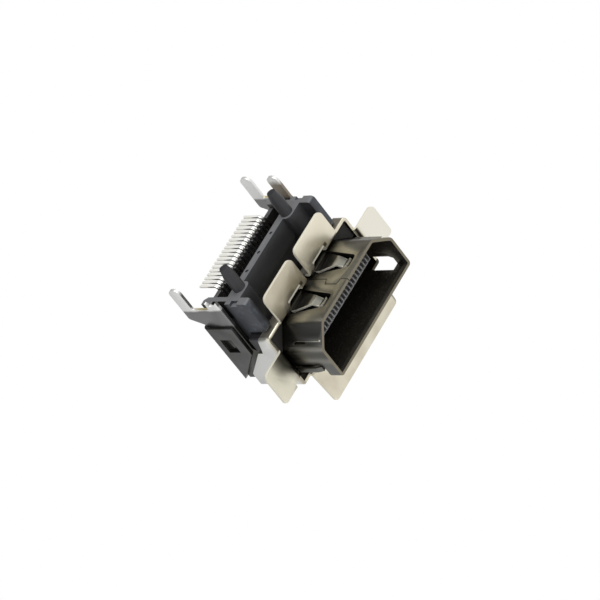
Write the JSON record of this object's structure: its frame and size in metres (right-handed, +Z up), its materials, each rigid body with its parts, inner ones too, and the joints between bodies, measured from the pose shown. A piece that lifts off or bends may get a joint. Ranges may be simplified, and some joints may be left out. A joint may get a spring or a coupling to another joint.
{
  "type": "hdmi socket",
  "caption": "Raised right-angle HDMI board socket with a sheet-metal flange collar, tinned legs and locating pegs; a pulled part with one leg snapped off.",
  "frame": {"origin": "on the board's top surface, midway between the centres of the two locating pegs", "axes": "+Z up from the board, +X along the mouth, -Y out of the mouth towards the plug"},
  "size_m": [0.0222, 0.0137, 0.0176],
  "materials": {
    "shell_nickel": "dark nickel plate, tinned legs",
    "collar_nickel": "warm satin nickel plate",
    "cover_nickel": "grey satin nickel plate",
    "black_moulding": "black glass-filled moulding",
    "tinned_contact": "bright tin over copper alloy"
  },
  "bodies": {
    "root": {"housing": "black_moulding", "rear_insulator": "black_moulding", "contact_01": "tinned_contact", "contact_02": "tinned_contact", "contact_03": "tinned_contact", "contact_04": "tinned_contact", "contact_05": "tinned_contact", "contact_06": "tinned_contact", "contact_07": "tinned_contact", "contact_08": "tinned_contact", "contact_09": "tinned_contact", "contact_10": "tinned_contact", "contact_11": "tinned_contact", "contact_12": "tinned_contact", "contact_13": "tinned_contact", "contact_14": "tinned_contact", "contact_15": "tinned_contact", "contact_16": "tinned_contact", "contact_17": "tinned_contact", "contact_18": "tinned_contact", "contact_19": "tinned_contact", "shell": "shell_nickel", "flange_collar": "collar_nickel", "rear_cover": "cover_nickel"}
  },
  "joints": []
}
